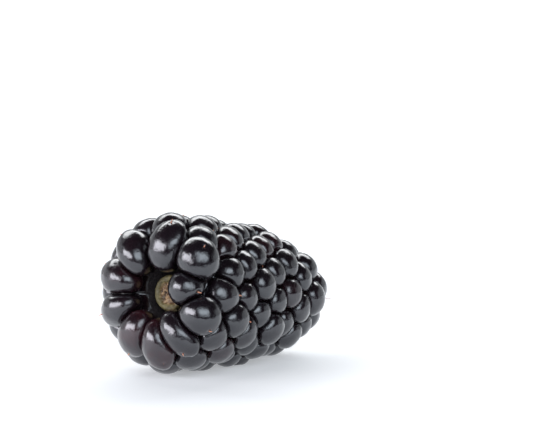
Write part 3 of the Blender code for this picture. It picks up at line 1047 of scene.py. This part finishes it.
corners = ((-CARD_SIDE, -CARD_FRONT), (CARD_SIDE, -CARD_FRONT),
           (CARD_SIDE, CARD_BACK), (-CARD_SIDE, CARD_BACK))
card = mesh_object("card_floor", [to_right * x + away * y for x, y in corners], [(0, 1, 2, 3)])
card_finish, tree, shader = new_finish("card_finish")
card_colour = blend_colours(tree, grain(tree, CARD_GRAIN_MM), *CARD_COLOURS)
tree.links.new(card_colour, shader.inputs["Base Color"])
for socket, value in (("Roughness", 0.6), ("Specular IOR Level", 0.2),
                      ("Emission Color", CARD_GLOW), ("Emission Strength", CARD_GLOW_STRENGTH)):
    shader.inputs[socket].default_value = value
card.data.materials.append(card_finish)

# %% [markdown]
# ## Light
# A glossy berry shows its lights as patches on every drupelet, so the light is drawn as patches of
# brightness on the sky round it.  Area lamps would do the same with hard square edges.  A long low
# window on the left makes the bright band, a dim wide one on the right the soft second patch, one
# high behind the fruit the thin white upper edges, and a faint wall behind the grey outlines.
# Everything else is dark, which keeps the skin black.

# %% The sky seen from the berry
room = bpy.data.worlds.new("room")
bpy.context.scene.world = room
room.use_nodes = True
sky = room.node_tree
sky.nodes.clear()
ray_way = add(sky, "ShaderNodeTexCoord").outputs["Generated"]
turned_way = add(sky, "ShaderNodeVectorRotate", {"Vector": ray_way, "Angle": -azimuth},
                 rotation_type="Z_AXIS").outputs[0]
ways = add(sky, "ShaderNodeSeparateXYZ", {"Vector": turned_way}).outputs
height = maths(sky, "ARCSINE", ways["Z"])
side = maths(sky, "ARCTAN2", ways["X"], maths(sky, "MULTIPLY", ways["Y"], -1.0))
side_behind = maths(sky, "ARCTAN2", ways["X"], ways["Y"])


# %% A soft patch of light
def soft_step(value, middle_deg, half_deg, soft_deg):
    """One inside middle +- half, fading to nothing over a soft edge; all in degrees."""
    off = maths(sky, "ABSOLUTE", maths(sky, "SUBTRACT", value, math.radians(middle_deg)))
    full = math.radians(half_deg - soft_deg / 2.0)
    gone = math.radians(half_deg + soft_deg / 2.0)
    return eased(sky, off, full, gone, 1.0, 0.0)


def patch(bearing, side_deg, height_deg, half_wide, half_high, soft, brightness, colour):
    """A patch's light: side 0 is the camera's side or, for side_behind, the far side."""
    wide = soft_step(bearing, side_deg, half_wide, soft)
    high = soft_step(height, height_deg, half_high, soft)
    shape = maths(sky, "MULTIPLY", maths(sky, "MULTIPLY", wide, high), brightness)
    return scaled(sky, colour, shape)


LEFT_WINDOW = patch(side, -64.0, 13.0, 28.0, 11.0, 12.0, 7.2, (1.0, 0.95, 1.0))
RIGHT_GLOW = patch(side, 14.0, 26.0, 25.0, 17.0, 26.0, 3.9, (0.88, 0.94, 1.0))
BACK_WINDOW = patch(side_behind, -5.0, 42.0, 50.0, 11.0, 10.0, 4.8, (1.0, 1.0, 1.0))
FAR_WALL = patch(side_behind, 0.0, 8.0, 100.0, 16.0, 16.0, 0.6, (0.93, 0.97, 1.0))
ROOM_LIGHT = (0.02, 0.02, 0.022)
WHITE = (1.0, 1.0, 1.0, 1.0)

# %% Put the sky together; the camera itself sees plain white behind the floor
light = ROOM_LIGHT
for part in (LEFT_WINDOW, RIGHT_GLOW, BACK_WINDOW, FAR_WALL):
    light = vectors(sky, "ADD", part, light)
lit = add(sky, "ShaderNodeBackground", {"Color": light, "Strength": 1.0}).outputs[0]
seen = add(sky, "ShaderNodeBackground", {"Color": WHITE, "Strength": 1.0}).outputs[0]
to_eye = add(sky, "ShaderNodeLightPath").outputs["Is Camera Ray"]
shown = add(sky, "ShaderNodeMixShader", {0: to_eye, 1: lit, 2: seen}).outputs[0]
add(sky, "ShaderNodeOutputWorld", {"Surface": shown})

# %% [markdown]
# ## Camera
# The camera looks slightly down on the mouth of the berry from a good distance, so the berry keeps
# its true proportions.  It aims up and to the right of the berry, which places the fruit in the lower
# left of the view without shifting the lens.

# %% Camera
VIEW_WIDTH = 533            # the view's width in its own steps
VIEW_SCALE = 7.05           # steps per millimetre at the berry
CAMERA_DISTANCE = 450.0
AIM_RIGHT = 48.0            # the aim from the berry's middle, in steps
AIM_UP = 68.0
MIDDLE_HEIGHT = 10.9
SENSOR = 36.0
NEAR_LIMIT = 0.01

upwards = to_right.cross(-to_camera)
middle = Vector((0.0, 0.0, MIDDLE_HEIGHT))
aim = middle + to_right * (AIM_RIGHT / VIEW_SCALE) + upwards * (AIM_UP / VIEW_SCALE)
camera_data = bpy.data.cameras.new("camera")
camera_data.sensor_width = SENSOR
camera_data.lens = VIEW_SCALE * CAMERA_DISTANCE / VIEW_WIDTH * SENSOR
camera_data.clip_start = NEAR_LIMIT
camera = new_object("camera", camera_data)
camera.location = (aim + to_camera * CAMERA_DISTANCE) * MM
camera.rotation_mode = "QUATERNION"
camera.rotation_quaternion = (-to_camera).to_track_quat("-Z", "Y")
bpy.context.scene.camera = camera
bpy.context.scene.view_settings.view_transform = "Standard"
print("lens, mm:", round(camera_data.lens, 1))
